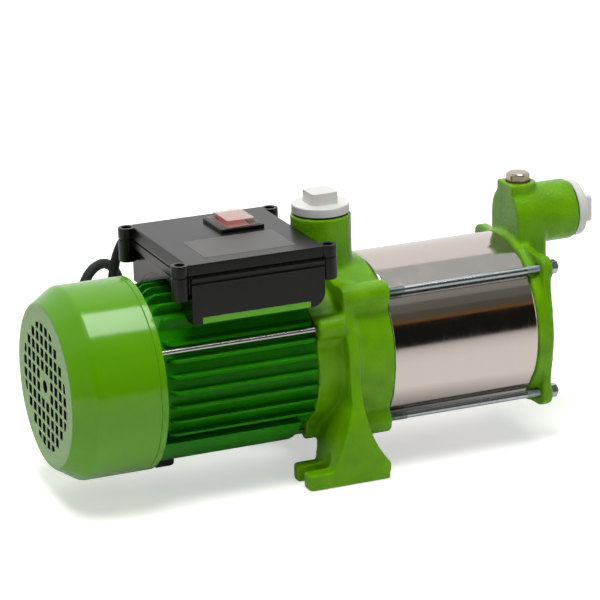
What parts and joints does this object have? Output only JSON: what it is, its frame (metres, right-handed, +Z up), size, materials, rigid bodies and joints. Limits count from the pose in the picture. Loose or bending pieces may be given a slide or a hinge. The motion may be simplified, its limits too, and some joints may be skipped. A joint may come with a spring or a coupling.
{
  "type": "self-priming pump",
  "caption": "Self-priming multistage water pump: finned electric motor with fan cover and switch box, cast foot bracket, steel sleeve held by tie rods, capped suction and discharge ports",
  "frame": {"origin": "middle of the cast foot's underside, on the floor, straight below the shaft line", "axes": "+X along the shaft from the fan cover towards the discharge port, +Y to the far side where the cord leaves the box, +Z up"},
  "size_m": [0.449, 0.3695, 0.2078],
  "materials": {
    "green_casting": "glossy lime green paint over rough cast aluminium",
    "green_motor": "glossy green paint over cast aluminium fins",
    "green_cover": "smooth glossy lime green paint on pressed steel",
    "polished_steel": "polished stainless steel",
    "zinc_steel": "bright zinc plated steel",
    "shaft_steel": "ground steel",
    "core_steel": "stacked electrical sheet",
    "copper_winding": "varnished copper wire",
    "stage_plastic": "glass filled plastic",
    "spacer_steel": "stainless steel",
    "seal_ceramic": "ceramic",
    "seal_carbon": "carbon and rubber",
    "black_rubber": "soft black rubber",
    "white_plastic": "white moulded plastic",
    "nickel_brass": "nickel plated brass",
    "fibre_washer": "red fibre",
    "charcoal_plastic": "fine textured charcoal plastic",
    "black_plastic": "black moulded plastic",
    "red_plastic": "red moulded plastic",
    "clear_boot": "clear soft vinyl",
    "block_plastic": "cream moulded plastic",
    "cord_rubber": "dark grey rubber",
    "pin_brass": "nickel plated brass"
  },
  "bodies": {
    "housing": {"pump_body": "green_casting", "pump_head": "green_casting", "motor_frame": "green_motor", "rear_endshield": "green_motor", "fan_cover": "green_cover", "outer_sleeve": "polished_steel", "pump_tie_rods": "zinc_steel", "pump_tie_nuts": "zinc_steel", "pump_tie_washers": "zinc_steel", "motor_tie_rods": "zinc_steel", "lid_screws": "zinc_steel", "rear_bearing_outer": "shaft_steel", "front_bearing_outer": "shaft_steel", "stator_core": "core_steel", "stator_windings": "copper_winding", "stage_casings": "stage_plastic", "seal_seat": "seal_ceramic", "sleeve_o_rings": "black_rubber", "suction_gasket": "black_rubber", "discharge_gasket": "black_rubber", "rear_bumper": "black_rubber", "lid_gasket": "black_rubber", "priming_washer": "fibre_washer", "terminal_box": "charcoal_plastic", "terminal_lid": "charcoal_plastic", "run_capacitor": "charcoal_plastic", "switch_bezel": "black_plastic", "cable_gland": "black_plastic", "gland_nut": "black_plastic", "switch_boot": "clear_boot", "terminal_block": "block_plastic", "supply_cord": "cord_rubber", "cord_coil": "cord_rubber", "cord_tail": "cord_rubber", "mains_plug": "cord_rubber", "plug_pins": "pin_brass"},
    "rotating_assembly": {"shaft": "shaft_steel", "rotor_core": "core_steel", "fan": "stage_plastic", "fan_clip": "shaft_steel", "rear_bearing_inner": "shaft_steel", "front_bearing_inner": "shaft_steel", "seal_rotor": "seal_carbon", "impellers": "stage_plastic", "impeller_spacers": "spacer_steel", "impeller_nut": "shaft_steel"},
    "rocker": {"switch_rocker": "red_plastic"},
    "suction_cap": {"suction_plug": "white_plastic"},
    "discharge_cap": {"discharge_plug": "white_plastic"},
    "priming_cap": {"priming_plug": "nickel_brass"}
  },
  "joints": [
    {"name": "shaft_spin", "type": "hinge", "parent": "housing", "child": "rotating_assembly", "pos_m": [0, 0, 0.087], "axis": [1, 0, 0], "continuous": true},
    {"name": "switch_rock", "type": "hinge", "parent": "housing", "child": "rocker", "pos_m": [-0.0472, 0.025, 0.1815], "axis": [1, 0, 0], "range_deg": [-16, 0]},
    {"name": "suction_cap_unscrew", "type": "slide", "parent": "housing", "child": "suction_cap", "axis": [0, 0, 1], "range_m": [0, 0.03]},
    {"name": "discharge_cap_unscrew", "type": "slide", "parent": "housing", "child": "discharge_cap", "axis": [1, 0, 0], "range_m": [0, 0.03]},
    {"name": "priming_plug_unscrew", "type": "slide", "parent": "housing", "child": "priming_cap", "axis": [0, 0, 1], "range_m": [0, 0.025]}
  ]
}
